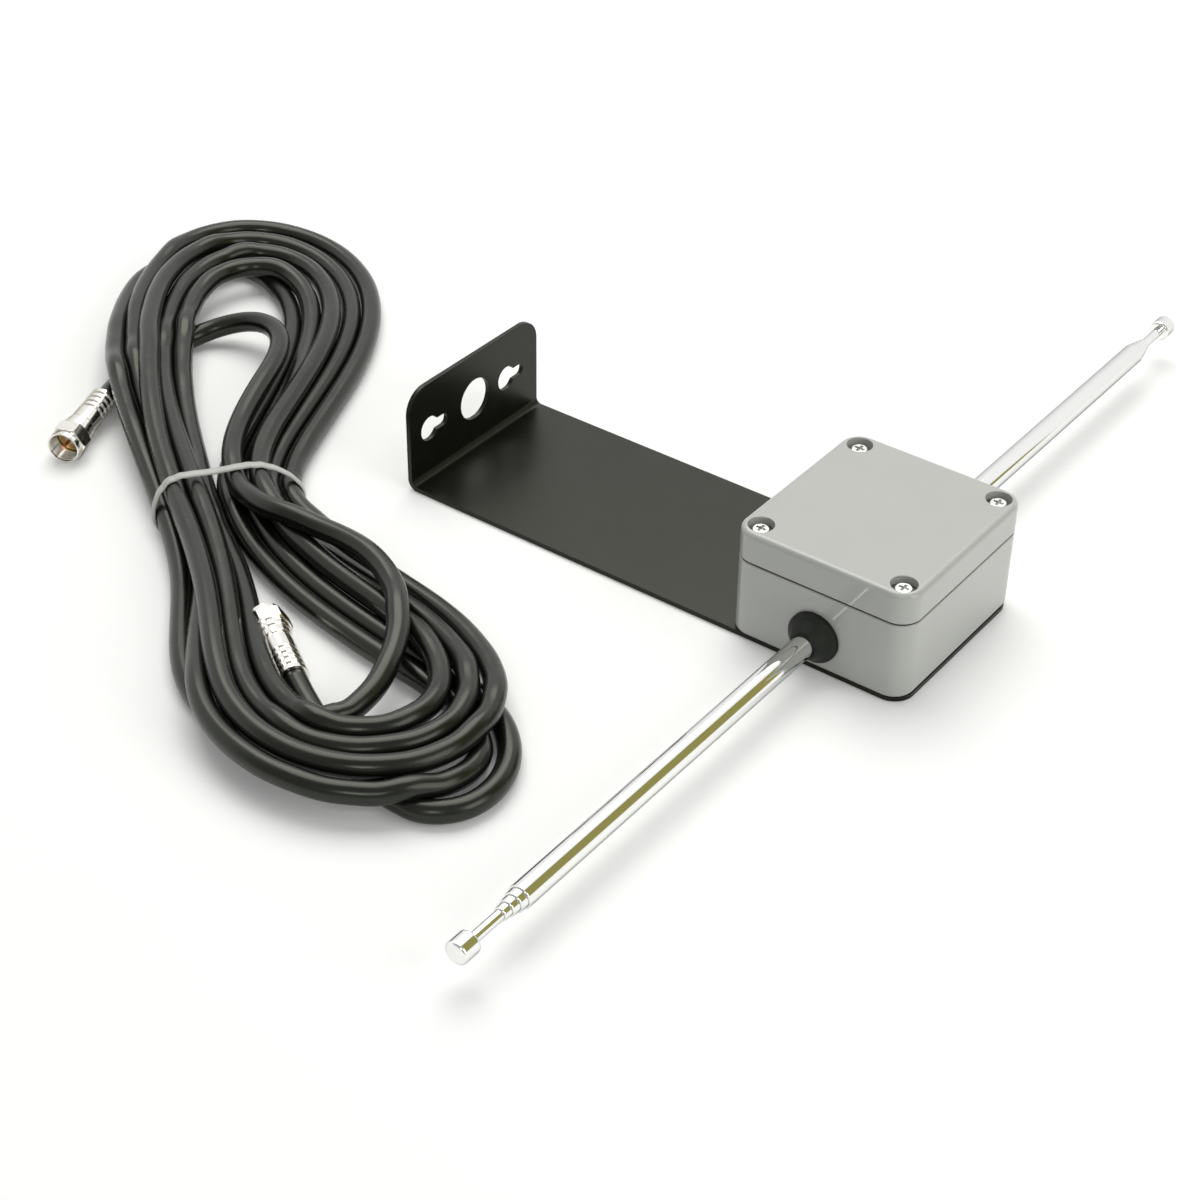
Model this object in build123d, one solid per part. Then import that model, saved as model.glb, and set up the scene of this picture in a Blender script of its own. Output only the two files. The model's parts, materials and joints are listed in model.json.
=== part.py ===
from build123d import *
import math
import os

# FM indoor antenna: a telescopic half-wave dipole on a die-cast box, carried by a sheet-metal
# wall bracket, with its coaxial lead lying unplugged beside it in a tied hank.
# Frame: +X runs along the bracket from its wall leg to the box, the two rods run along -Y and +Y,
# and +Z is up. The origin is at the middle of the antenna's footprint, on the surface it stands on.
# All sizes are in millimetres.

# Wall bracket
sheet = 1.5
bracket_length = 178.0
bracket_inset = 0.5
leg_height = 34.0
bend_inside_radius = 2.0
leg_corner_radius = 8.0
end_corner_radius = 6.5
wall_hole_diameter = 14.0
wall_hole_height = 18.0
keyhole_spacing = 38.0
keyhole_head_diameter = 8.2
keyhole_slot_width = 4.2
keyhole_travel = 6.4

# Die-cast box
box_length = 58.0
box_width = 64.0
base_height = 25.0
lid_height = 10.0
wall = 2.2
floor_thickness = 2.5
lid_thickness = 2.5
box_corner_radius = 6.5
lid_edge_radius = 1.6
base_edge_radius = 1.0
seam_chamfer = 0.5
gasket_width = 1.0
gasket_depth = 0.8

# Lid screws
lid_screw_inset = 5.85
lid_recess_diameter = 7.8
lid_recess_depth = 3.2
lid_screw_grip = 9.0
base_boss_radius = 4.2
lid_boss_wall = 1.2

# Small screws and nuts
screw_diameter = 3.0
screw_hole_clearance = 0.1
pan_head_diameter = 5.4
pan_head_height = 2.0
cross_slot_width = 0.9
cross_slot_length = 3.2
cross_slot_depth = 1.1
flat_head_diameter = 5.4
flat_head_sink = 0.15
nut_across_flats = 5.5
nut_height = 2.4
bracket_screw_spacing = 32.0
bracket_screw_stand = 1.0

# Telescopic rods
rod_height = 10.0
rod_diameter = 7.0
tube_wall = 0.35
stage_step = 0.5
stage_clearance = 0.05
rod_inner_end = 8.0
rod_tube_end = 165.0
stage_show = 2.5
stage_stagger = 2.0
stage_foot_length = 4.0
stage_lip_length = 1.5
stage_edge_radius = 0.3
tip_reach = 11.0
tip_cap_diameter = 6.8
tip_cap_length = 6.0
tip_cap_edge_radius = 0.8
tip_cap_socket = 3.0
end_plug_length = 14.0

# Rubber grommets
grommet_flange_diameter = 16.0
grommet_flange_thickness = 1.2
grommet_nose_diameter = 8.8
grommet_nose_length = 5.6
grommet_shoulder_diameter = 13.0
grommet_shoulder_height = 2.4
grommet_neck_diameter = 12.0
grommet_lock_diameter = 14.6
grommet_lock_thickness = 2.0
grommet_clearance = 0.05

# Insulating block, matching board and transformer
block_length = 48.0
block_width = 15.0
block_roof = 1.4
foot_length = 44.0
foot_width = 20.0
foot_thickness = 3.0
terminal_spacing = 32.0
board_length = 36.0
board_width = 42.0
board_thickness = 1.6
core_outer_diameter = 12.0
core_inner_diameter = 6.4
core_height = 5.0
core_offset = 6.0
winding_wire = 0.8
winding_gap = 0.1
winding_turns = 7
winding_pitch = 24.0

# Chassis socket
jack_thread_diameter = 9.5
jack_thread_length = 5.4
jack_relief = 0.1
jack_hex = 11.0
jack_flange_thickness = 2.5
jack_washer_diameter = 13.0
jack_washer_thickness = 0.8
jack_nut_thickness = 2.6
jack_insulator_diameter = 6.4
jack_contact_diameter = 1.2
jack_contact_reach = 10.0
jack_face_recess = 0.6
jack_clearance = 0.05

# Coaxial lead
cable_diameter = 6.8
cable_clearance = 0.05
cable_in_plug = 8.0
hank_height = 14.0
hank_edge_radius = 3.0
tail_clearance = 0.2
tie_width = 3.4
tie_thickness = 0.8

# Screw-on cable plugs
sleeve_length = 20.0
sleeve_diameter = 8.8
sleeve_ring_depth = 0.5
sleeve_ring_width = 1.2
sleeve_ring_pitch = 2.6
sleeve_ring_count = 4
sleeve_first_ring = 1.6
collar_diameter = 9.6
collar_length = 2.6
neck_width = 0.9
neck_depth = 0.45
post_diameter = 5.4
post_flange_diameter = 9.0
post_flange_thickness = 1.4
plug_insulator_diameter = 4.6
plug_pin_diameter = 1.0
plug_pin_stand = 6.4
plug_nut_hex = 11.0
plug_nut_length = 10.0
plug_nut_lip = 2.0
plug_nut_rim = 0.2
plug_nut_boss_diameter = 10.4
plug_nut_front_boss = 2.2
plug_nut_rear_boss = 2.4
plug_nut_boss_edge = 0.15
plug_nut_bore = 9.6
plug_nut_clearance = 0.1
plug_clearance = 0.05

# The lead's two free stretches, each from its plug to where it goes under the hank
tail_a_points = [
    (-191.7, -66.6, 5.6),
    (-198.4, -49.9, 5.6),
    (-202.6, -32.5, 4.2),
    (-203.6, -16.5, 3.5),
]
tail_b_points = [
    (-53.7, -125.1, 5.6),
    (-38.3, -134.5, 5.6),
    (-22.8, -141.6, 4.2),
    (-7.5, -146.0, 3.5),
]

# The hank's outline and its two eyes, seen from above
hank_outline = [
    (-134, -97),
    (-92, -136),
    (-56, -163),
    (-22, -171),
    (14, -161),
    (31, -136),
    (16, -107),
    (-20, -82),
    (-66, -74),
    (-109, -58),
    (-125, -37),
    (-140, 5),
    (-165, 40),
    (-205, 61),
    (-242, 66),
    (-256, 42),
    (-248, 8),
    (-220, -29),
    (-173, -65),
]
lower_eye_outline = [(-97, -88), (-88, -110), (-57, -136), (-30, -138), (-9, -124), (-18, -104), (-45, -84), (-80, -77)]
upper_eye_outline = [(-142, -63), (-166, -47), (-190, -28), (-214, 4), (-206, 22), (-186, 24), (-170, 8), (-152, -36)]
tie_place = (-121.5, -77.5)
tie_across = (25.0, 39.0)

# Places worked out from the sizes
wall_x = -bracket_length / 2
end_x = bracket_length / 2
bracket_width = box_width - 2 * bracket_inset
box_x = end_x - box_length / 2
base_bottom = sheet
base_top = base_bottom + base_height
lid_top = base_top + lid_height
base_floor = base_bottom + floor_thickness
rod_z = base_bottom + rod_height
rod_radius = rod_diameter / 2
screw_radius = screw_diameter / 2
screw_hole_radius = screw_radius + screw_hole_clearance
lid_seat_z = lid_top - lid_recess_depth
block_top = rod_z + rod_radius + grommet_clearance + block_roof
board_top = block_top + board_thickness
jack_z = board_top + jack_contact_diameter / 2 + jack_clearance
jack_face_x = box_x - box_length / 2
jack_hole_radius = jack_thread_diameter / 2 + jack_clearance
jack_stack = wall + jack_washer_thickness + jack_nut_thickness
stage_count = 4


def rounded_block(length, width, height, radius):
    """An upright block with rounded corners, standing on Z = 0."""
    return extrude(RectangleRounded(length, width, radius), height)


def upright(radius, low, high):
    """An upright cylinder on the Z axis between two heights."""
    return Pos(0, 0, (low + high) / 2) * Cylinder(radius, high - low)


def turned(points):
    """A body of revolution about Z from (radius, height) points."""
    return revolve(make_face(Plane.XZ * Polyline(*points, close=True)), Axis.Z)


def hexagon(across_flats, low, high):
    """A hexagonal prism on the Z axis with two flats facing Y."""
    return Pos(0, 0, low) * extrude(RegularPolygon(across_flats / 2, 6, major_radius=False), high - low)


def box_corners():
    """Where the four lid screws stand."""
    reach_x = box_length / 2 - lid_screw_inset
    reach_y = box_width / 2 - lid_screw_inset
    return [Pos(box_x + sx * reach_x, sy * reach_y, 0) for sx in (-1, 1) for sy in (-1, 1)]


def bracket_screw_places():
    """Where the two screws hold the box and the block on the bracket."""
    return [Pos(box_x + side * bracket_screw_spacing / 2, 0, 0) for side in (-1, 1)]


def terminal_places():
    """Where the two terminal screws reach the rods."""
    return [Pos(box_x, side * terminal_spacing / 2, 0) for side in (-1, 1)]


def rod_place(side):
    """Turns a body built along +Z into a rod that leaves the box along side times Y."""
    return Pos(box_x, 0, rod_z) * Rot(-90 * side, 0, 0)


def jack_place():
    """Turns a body built along +Z into one that leaves the box's wall along -X."""
    return Pos(jack_face_x, 0, jack_z) * Rot(0, -90, 0)


def cross_slot(top):
    """The crossed recess in a screw's head, below the given height."""
    middle = top - cross_slot_depth / 2
    bar = Box(cross_slot_length, cross_slot_width, cross_slot_depth)
    return Pos(0, 0, middle) * (bar + Rot(0, 0, 90) * bar)


def pan_screw(seat, tip):
    """A pan-head screw whose head stands on the height seat."""
    head = upright(pan_head_diameter / 2, seat, seat + pan_head_height)
    head = fillet(head.edges().group_by(Axis.Z)[-1], pan_head_height * 0.35)
    return head + upright(screw_radius, tip, seat) - cross_slot(seat + pan_head_height)


def flat_screw(tip):
    """A countersunk screw that goes up through the bracket."""
    head_radius = flat_head_diameter / 2
    neck = flat_head_sink + head_radius - screw_radius
    outline = [
        (0, flat_head_sink),
        (head_radius, flat_head_sink),
        (screw_radius, neck),
        (screw_radius, tip),
        (0, tip),
    ]
    slot = Pos(0, 0, flat_head_sink + cross_slot_depth) * cross_slot(0)
    return turned(outline) - slot


def wall_bracket():
    """The bent sheet: a long foot under the box and a short leg with the wall holes."""
    inner_x = wall_x + sheet
    section = Polyline(
        (wall_x, 0),
        (end_x, 0),
        (end_x, sheet),
        (inner_x, sheet),
        (inner_x, leg_height),
        (wall_x, leg_height),
        close=True,
    )
    bent = extrude(make_face(Plane.XZ * section), bracket_width / 2, both=True)
    along_y = bent.edges().filter_by(Axis.Y)
    bent = fillet(along_y.sort_by_distance((wall_x, 0, 0))[0], bend_inside_radius + sheet)
    bent = fillet(bent.edges().filter_by(Axis.Y).sort_by_distance((inner_x, 0, sheet))[0], bend_inside_radius)
    leg_corners = bent.edges().filter_by(Axis.X).group_by(Axis.Z)[-1]
    bent = fillet(leg_corners, leg_corner_radius)
    end_corners = bent.edges().filter_by(Axis.Z).group_by(Axis.X)[-1]
    bent = fillet(end_corners, end_corner_radius)
    through = Pos(wall_x + sheet / 2, 0, wall_hole_height) * Rot(0, 90, 0)
    bent -= through * Cylinder(wall_hole_diameter / 2, 2 * sheet)
    for side in (-1, 1):
        head_y = side * keyhole_spacing / 2 - keyhole_travel / 2
        slot = Pos(0, head_y + keyhole_travel / 2, 0) * Box(keyhole_slot_width, keyhole_travel, 2 * sheet)
        slot += Pos(0, head_y, 0) * Cylinder(keyhole_head_diameter / 2, 2 * sheet)
        slot += Pos(0, head_y + keyhole_travel, 0) * Cylinder(keyhole_slot_width / 2, 2 * sheet)
        bent -= through * slot
    sink_radius = flat_head_diameter / 2 + flat_head_sink + screw_hole_clearance / 2
    sink = turned([(0, 0), (sink_radius, 0), (0, sink_radius)])
    for place in bracket_screw_places():
        bent -= place * (sink + upright(screw_hole_radius, 0, 2 * sheet))
    return bent


def gasket_ring(grow):
    """The rim seal's section, grown on each face by a clearance."""
    middle = wall / 2
    outer = middle - gasket_width / 2 - grow
    inner = middle + gasket_width / 2 + grow
    ring = RectangleRounded(box_length - 2 * outer, box_width - 2 * outer, box_corner_radius - outer)
    ring -= RectangleRounded(box_length - 2 * inner, box_width - 2 * inner, box_corner_radius - inner)
    return Pos(box_x, 0, base_top - gasket_depth) * extrude(ring, gasket_depth)


def box_base():
    """The lower casting, open at the top, with a boss in each corner for a lid screw."""
    shell = rounded_block(box_length, box_width, base_height, box_corner_radius)
    shell = fillet(shell.faces().sort_by(Axis.Z)[0].edges(), base_edge_radius)
    shell = chamfer(shell.faces().sort_by(Axis.Z)[-1].edges(), seam_chamfer)
    cavity = rounded_block(box_length - 2 * wall, box_width - 2 * wall, base_height, box_corner_radius - wall)
    shell = Pos(box_x, 0, base_bottom) * (shell - Pos(0, 0, floor_thickness) * cavity)
    for place in box_corners():
        shell += place * upright(base_boss_radius, base_floor, base_top)
    for place in box_corners():
        shell -= place * upright(screw_hole_radius, base_top - lid_screw_grip - screw_diameter, base_top)
    shell -= gasket_ring(0)
    for side in (-1, 1):
        hole = upright(grommet_neck_diameter / 2 + grommet_clearance, box_width / 2 - 2 * wall, box_width / 2 + wall)
        shell -= rod_place(side) * hole
    shell -= jack_place() * upright(jack_hole_radius, -2 * wall, wall)
    for place in bracket_screw_places():
        shell -= place * upright(screw_hole_radius, 0, 2 * base_floor)
    return shell


def box_lid():
    """The upper casting, with a deep round recess at each corner for a screw's head."""
    shell = rounded_block(box_length, box_width, lid_height, box_corner_radius)
    shell = fillet(shell.faces().sort_by(Axis.Z)[-1].edges(), lid_edge_radius)
    shell = chamfer(shell.faces().sort_by(Axis.Z)[0].edges(), seam_chamfer)
    hollow = lid_height - lid_thickness
    cavity = rounded_block(box_length - 2 * wall, box_width - 2 * wall, hollow, box_corner_radius - wall)
    shell = Pos(box_x, 0, base_top) * (shell - cavity)
    recess_radius = lid_recess_diameter / 2
    for place in box_corners():
        shell += place * upright(recess_radius + lid_boss_wall, base_top, lid_seat_z)
    for place in box_corners():
        shell -= place * upright(recess_radius, lid_seat_z, lid_top + 1)
        shell -= place * upright(screw_hole_radius, base_top - 1, lid_seat_z)
    return shell


def lid_screws():
    """Four pan-head screws that hold the lid."""
    screw = pan_screw(lid_seat_z, base_top - lid_screw_grip)
    return [place * screw for place in box_corners()]


def bracket_screws():
    """Two countersunk screws, flush with the bracket's underside."""
    tip = base_floor + foot_thickness + nut_height + bracket_screw_stand
    return [place * flat_screw(tip) for place in bracket_screw_places()]


def bracket_nuts():
    """The nuts of the two countersunk screws, inside the box."""
    low = base_floor + foot_thickness
    nut = hexagon(nut_across_flats, low, low + nut_height)
    nut -= upright(screw_radius + stage_clearance, low - 1, low + nut_height + 1)
    return [place * nut for place in bracket_screw_places()]


def rod_grommet(side):
    """A rubber bush in the box's wall, with a cone-shaped nose around the rod."""
    bore = rod_radius + grommet_clearance
    face = box_width / 2
    back = face - wall
    outline = [
        (bore, back - grommet_lock_thickness),
        (grommet_lock_diameter / 2, back - grommet_lock_thickness),
        (grommet_lock_diameter / 2, back),
        (grommet_neck_diameter / 2, back),
        (grommet_neck_diameter / 2, face),
        (grommet_flange_diameter / 2, face),
        (grommet_flange_diameter / 2, face + grommet_flange_thickness),
        (grommet_shoulder_diameter / 2, face + grommet_shoulder_height),
        (grommet_nose_diameter / 2, face + grommet_nose_length),
        (bore, face + grommet_nose_length),
    ]
    bush = turned(outline)
    rim = bush.edges().filter_by(GeomType.CIRCLE).group_by(Axis.Z)[-1].sort_by(SortBy.RADIUS)[-1]
    bush = fillet(rim, (grommet_nose_diameter / 2 - bore) / 2)
    flange_rim = bush.edges().filter_by(GeomType.CIRCLE).sort_by(SortBy.RADIUS)[-2:]
    bush = fillet(flange_rim.sort_by(Axis.Z)[-1], grommet_flange_thickness / 2)
    return rod_place(side) * bush


def stage_radius(stage):
    """Outside radius of a rod's tube: stage 0 is fixed, and the last one is the tip."""
    return rod_radius - stage * stage_step


def stage_start(stage):
    """Distance of a stage's foot from the middle of the box."""
    if stage == 0:
        return rod_inner_end
    return rod_inner_end + end_plug_length + 1 + (stage - 1) * stage_stagger


def stage_end(stage):
    """Distance of a tube's rolled end from the middle of the box, pushed in."""
    return rod_tube_end + stage * stage_show


def foot_radius(stage):
    """Radius of a stage's guiding foot, which runs in the tube around it."""
    return stage_radius(stage - 1) - tube_wall - stage_clearance


def rod_tube(side, stage):
    """One tube of a rod, with its end rolled in around the next stage."""
    radius = stage_radius(stage)
    start = stage_start(stage)
    end = stage_end(stage)
    tube = upright(radius, start, end)
    tube = fillet(tube.edges().group_by(Axis.Z)[-1], stage_edge_radius)
    if stage > 0:
        tube += upright(foot_radius(stage), start, start + stage_foot_length)
    tube -= upright(radius - tube_wall, start, end - stage_lip_length)
    tube -= upright(stage_radius(stage + 1) + stage_clearance, start, end)
    tube = rod_place(side) * tube
    if stage == 0:
        tube -= Pos(box_x, side * terminal_spacing / 2, 0) * upright(screw_hole_radius, rod_z, board_top)
    return tube


def rod_tip(side):
    """The innermost stage, a plain rod with a guiding foot."""
    start = stage_start(stage_count)
    end = stage_end(stage_count - 1) + tip_reach + tip_cap_socket
    rod = upright(stage_radius(stage_count), start, end)
    rod += upright(foot_radius(stage_count), start, start + stage_foot_length)
    return rod_place(side) * rod


def rod_cap(side):
    """The button on the tip, as wide as the fixed tube."""
    start = stage_end(stage_count - 1) + tip_reach
    cap = upright(tip_cap_diameter / 2, start, start + tip_cap_length)
    cap = fillet(cap.edges().filter_by(GeomType.CIRCLE), tip_cap_edge_radius)
    cap -= upright(stage_radius(stage_count) + stage_clearance, start, start + tip_cap_socket)
    return rod_place(side) * cap


def rod_end_plug(side):
    """The brass plug in the fixed tube that takes the terminal screw."""
    start = rod_inner_end
    plug = rod_place(side) * upright(rod_radius - tube_wall - stage_clearance, start, start + end_plug_length)
    hole = upright(screw_radius + stage_clearance, rod_z - rod_radius, board_top)
    return plug - Pos(box_x, side * terminal_spacing / 2, 0) * hole


def centre_block():
    """The insulating block on the box's floor that holds both rods and the board."""
    foot = Pos(box_x, 0, base_floor) * rounded_block(foot_length, foot_width, foot_thickness, foot_thickness)
    body = Pos(box_x, 0, base_floor) * rounded_block(block_width, block_length, block_top - base_floor, 1.0)
    block = foot + body
    for side in (-1, 1):
        block -= rod_place(side) * upright(rod_radius + grommet_clearance, rod_inner_end, box_width)
    for place in bracket_screw_places():
        block -= place * upright(screw_hole_radius, 0, block_top)
    for place in terminal_places():
        block -= place * upright(screw_hole_radius, rod_z, board_top)
    return block


def terminal_screws():
    """Two screws through the board into the rods' plugs."""
    screw = pan_screw(board_top, rod_z - rod_radius / 2)
    return [place * screw for place in terminal_places()]


def balun_board():
    """The circuit board on top of the block."""
    board = Pos(box_x, 0, block_top) * rounded_block(board_length, board_width, board_thickness, 1.0)
    for place in terminal_places():
        board -= place * upright(screw_hole_radius, block_top - 1, board_top + 1)
    return board


def core_bottom():
    """Height of the ferrite ring, which stands on its winding."""
    return board_top + winding_wire + winding_gap


def balun_core():
    """The ferrite ring of the matching transformer."""
    low = core_bottom()
    ring = upright(core_outer_diameter / 2, low, low + core_height)
    ring -= upright(core_inner_diameter / 2, low - 1, low + core_height + 1)
    return Pos(box_x + core_offset, 0, 0) * ring


def balun_winding():
    """The wire turns around the ferrite ring, joined by a run of wire under its rim."""
    inner = core_inner_diameter / 2 - winding_gap
    outer = core_outer_diameter / 2 + winding_gap
    middle = (inner + outer) / 2
    span = outer - inner
    height = core_height + 2 * winding_gap
    centre = core_bottom() + core_height / 2
    turn = Box(span + 2 * winding_wire, winding_wire, height + 2 * winding_wire)
    turn -= Box(span, 2 * winding_wire, height)
    turn = Pos(middle, 0, centre) * turn
    joined = upright(outer + winding_wire, board_top, board_top + winding_wire)
    joined -= upright(outer, board_top - 1, board_top + 1)
    reach = winding_pitch * (winding_turns - 1)
    wires = [Rot(0, 0, index * winding_pitch - reach / 2) * turn for index in range(winding_turns)]
    winding = wires[0]
    for wire in wires[1:]:
        winding += wire
    winding += joined
    return Pos(box_x + core_offset, 0, 0) * winding


def jack_body():
    """The socket's metal shell: a hexagon inside the wall and a threaded barrel outside."""
    seat = -wall
    front = jack_stack - wall + jack_thread_length
    shell = hexagon(jack_hex, seat - jack_flange_thickness, seat)
    shell += upright(jack_thread_diameter / 2 - jack_relief, seat, jack_stack - wall)
    shell += upright(jack_thread_diameter / 2, jack_stack - wall, front)
    shell -= upright(jack_insulator_diameter / 2, seat - 2 * jack_flange_thickness, front + 1)
    return jack_place() * shell


def jack_insulator():
    """The plastic core of the socket."""
    low = -wall - jack_flange_thickness
    high = jack_stack - wall + jack_thread_length - jack_face_recess
    core = upright(jack_insulator_diameter / 2 - jack_clearance, low, high)
    core -= upright(jack_contact_diameter / 2 + jack_clearance, low - 1, high + 1)
    return jack_place() * core


def jack_contact():
    """The socket's centre contact, which reaches over the board to its pad."""
    low = -wall - jack_flange_thickness - jack_contact_reach
    high = jack_stack - wall + jack_thread_length - 2 * jack_face_recess
    return jack_place() * upright(jack_contact_diameter / 2, low, high)


def jack_washer():
    """The washer between the box and the socket's nut."""
    ring = upright(jack_washer_diameter / 2, 0, jack_washer_thickness)
    ring -= upright(jack_hole_radius, -1, jack_washer_thickness + 1)
    return jack_place() * ring


def jack_nut():
    """The nut that clamps the socket in the box's wall."""
    low = jack_washer_thickness
    nut = hexagon(jack_hex, low, low + jack_nut_thickness)
    nut -= upright(jack_hole_radius, 0, low + jack_nut_thickness + 1)
    return jack_place() * nut


def bend_radii(points, closed=False):
    """The largest tangent arc at each corner: 0.45 of the shorter run over the tangent of half the turn."""
    vectors = [Vector(*point) for point in points]
    count = len(vectors)
    corners = range(count) if closed else range(1, count - 1)
    radii = []
    for index in corners:
        before = vectors[index] - vectors[index - 1]
        after = vectors[(index + 1) % count] - vectors[index]
        half_turn = math.radians(before.get_angle(after)) / 2
        radii.append(0.45 * min(before.length, after.length) / math.tan(half_turn))
    return radii


def rounded_outline(points):
    """A flat face inside a closed line of straight runs and tangent arcs."""
    return make_face(FilletPolyline(*points, radius=bend_radii(points, closed=True), close=True))


def tie_slab():
    """The slice across the hank's waist where the tie goes round."""
    turn = math.degrees(math.atan2(tie_across[1], tie_across[0]))
    across = math.hypot(*tie_across)
    place = Pos(*tie_place, 0) * Rot(0, 0, turn)
    return place * Pos(0, 0, hank_height / 2) * Box(2 * across, tie_width, 2 * hank_height)


def cable_tie():
    """The flat tie around the hank's waist."""
    waist = rounded_outline(hank_outline)
    around = extrude(offset(waist, tie_thickness), hank_height + tie_thickness)
    inside = Pos(0, 0, tie_thickness) * extrude(waist, hank_height - tie_thickness)
    return (around - inside) & tie_slab()


def tail_path(points):
    """The middle line of a stretch of the lead: straight runs and tangent arcs."""
    return FilletPolyline(*points, radius=bend_radii(points))


def cable_tail(points, radius):
    """A stretch of the lead, or of the room it takes up in the hank."""
    path = tail_path(points)
    start = Plane(path @ 0, z_dir=path % 0)
    return sweep(start * Circle(radius), path)


def cable_hank():
    """The hank's turns as one closed shape, with room for the tie and the two tails."""
    bundle = extrude(rounded_outline(hank_outline), hank_height)
    bundle = fillet(bundle.faces().sort_by(Axis.Z)[-1].edges(), hank_edge_radius)
    bundle -= extrude(rounded_outline(lower_eye_outline), hank_height)
    bundle -= extrude(rounded_outline(upper_eye_outline), hank_height)
    bundle -= cable_tie()
    for points in (tail_a_points, tail_b_points):
        bundle -= cable_tail(points, cable_diameter / 2 + tail_clearance)
    return bundle


def plug_place(points):
    """Turns a plug built along +Z, with its cable end at Z = 0, so that it sits on the end of a tail."""
    first = Vector(*points[0])
    heading = (first - Vector(*points[1])).normalized()
    rear = first - heading * cable_in_plug
    return Location(Plane(rear, x_dir=heading.cross(Vector(0, 0, 1)), z_dir=heading))


def sleeve_groove(low, width, depth):
    """What one groove round the sleeve takes away."""
    groove = upright(sleeve_diameter, low, low + width)
    return groove - upright(sleeve_diameter / 2 - depth, low, low + width)


def plug_sleeve(points):
    """The crimped sleeve, with its ring grooves and a neck and a collar behind the nut."""
    collar_low = sleeve_length - collar_length
    sleeve = upright(sleeve_diameter / 2, 0, sleeve_length)
    sleeve += upright(collar_diameter / 2, collar_low, sleeve_length)
    for index in range(sleeve_ring_count):
        low = sleeve_first_ring + index * sleeve_ring_pitch
        sleeve -= sleeve_groove(low, sleeve_ring_width, sleeve_ring_depth)
    sleeve -= sleeve_groove(collar_low - neck_width, neck_width, neck_depth)
    sleeve -= upright(cable_diameter / 2 + cable_clearance, 0, cable_in_plug)
    sleeve -= upright(post_diameter / 2 + plug_clearance, 0, sleeve_length)
    return plug_place(points) * sleeve


def plug_post(points):
    """The tubular post, whose flange keeps the nut on."""
    flange = sleeve_length + plug_nut_lip + 2 * plug_nut_clearance
    post = upright(post_diameter / 2, cable_in_plug, flange)
    post += upright(post_flange_diameter / 2, flange, flange + post_flange_thickness)
    post -= upright(plug_insulator_diameter / 2 + plug_clearance, 0, flange + post_flange_thickness)
    return plug_place(points) * post


def plug_insulator(points):
    """The lead's insulation, bared inside the post."""
    high = sleeve_length + plug_nut_lip + 2 * plug_nut_clearance + post_flange_thickness
    core = upright(plug_insulator_diameter / 2, cable_in_plug, high)
    core -= upright(plug_pin_diameter / 2 + plug_clearance, 0, high + 1)
    return plug_place(points) * core


def plug_pin(points):
    """The lead's centre wire, which stands out as the plug's pin."""
    high = sleeve_length + plug_nut_lip + post_flange_thickness + plug_pin_stand
    return plug_place(points) * upright(plug_pin_diameter / 2, cable_in_plug, high)


def plug_nut(points):
    """The coupling nut, a hexagon between two round ends, which turns freely on the post."""
    low = sleeve_length + plug_nut_clearance
    high = low + plug_nut_length
    hex_low = low + plug_nut_rear_boss
    hex_high = high - plug_nut_front_boss
    rim = plug_nut_hex / 2 + plug_nut_rim
    reach = plug_nut_hex / math.sqrt(3) + plug_nut_rim
    cone = reach - rim
    hex_outline = [
        (0, hex_low),
        (rim, hex_low),
        (reach, hex_low + cone),
        (reach, hex_high - cone),
        (rim, hex_high),
        (0, hex_high),
    ]
    boss = plug_nut_boss_diameter / 2
    edge = plug_nut_boss_edge
    boss_outline = [
        (0, low),
        (boss - edge, low),
        (boss, low + edge),
        (boss, high - edge),
        (boss - edge, high),
        (0, high),
    ]
    nut = hexagon(plug_nut_hex, hex_low, hex_high) & turned(hex_outline)
    nut += turned(boss_outline)
    nut -= upright(post_diameter / 2 + plug_nut_clearance, low - 1, low + plug_nut_lip)
    nut -= upright(plug_nut_bore / 2, low + plug_nut_lip, high + 1)
    return plug_place(points) * nut


def save(name, body):
    """Writes one named piece, or a group of like solids, as a STEP file."""
    solids = body if isinstance(body, list) else body.solids()
    shape = solids[0] if len(solids) == 1 else Compound(children=list(solids))
    export_step(shape, os.path.join("parts", name + ".step"))


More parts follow.
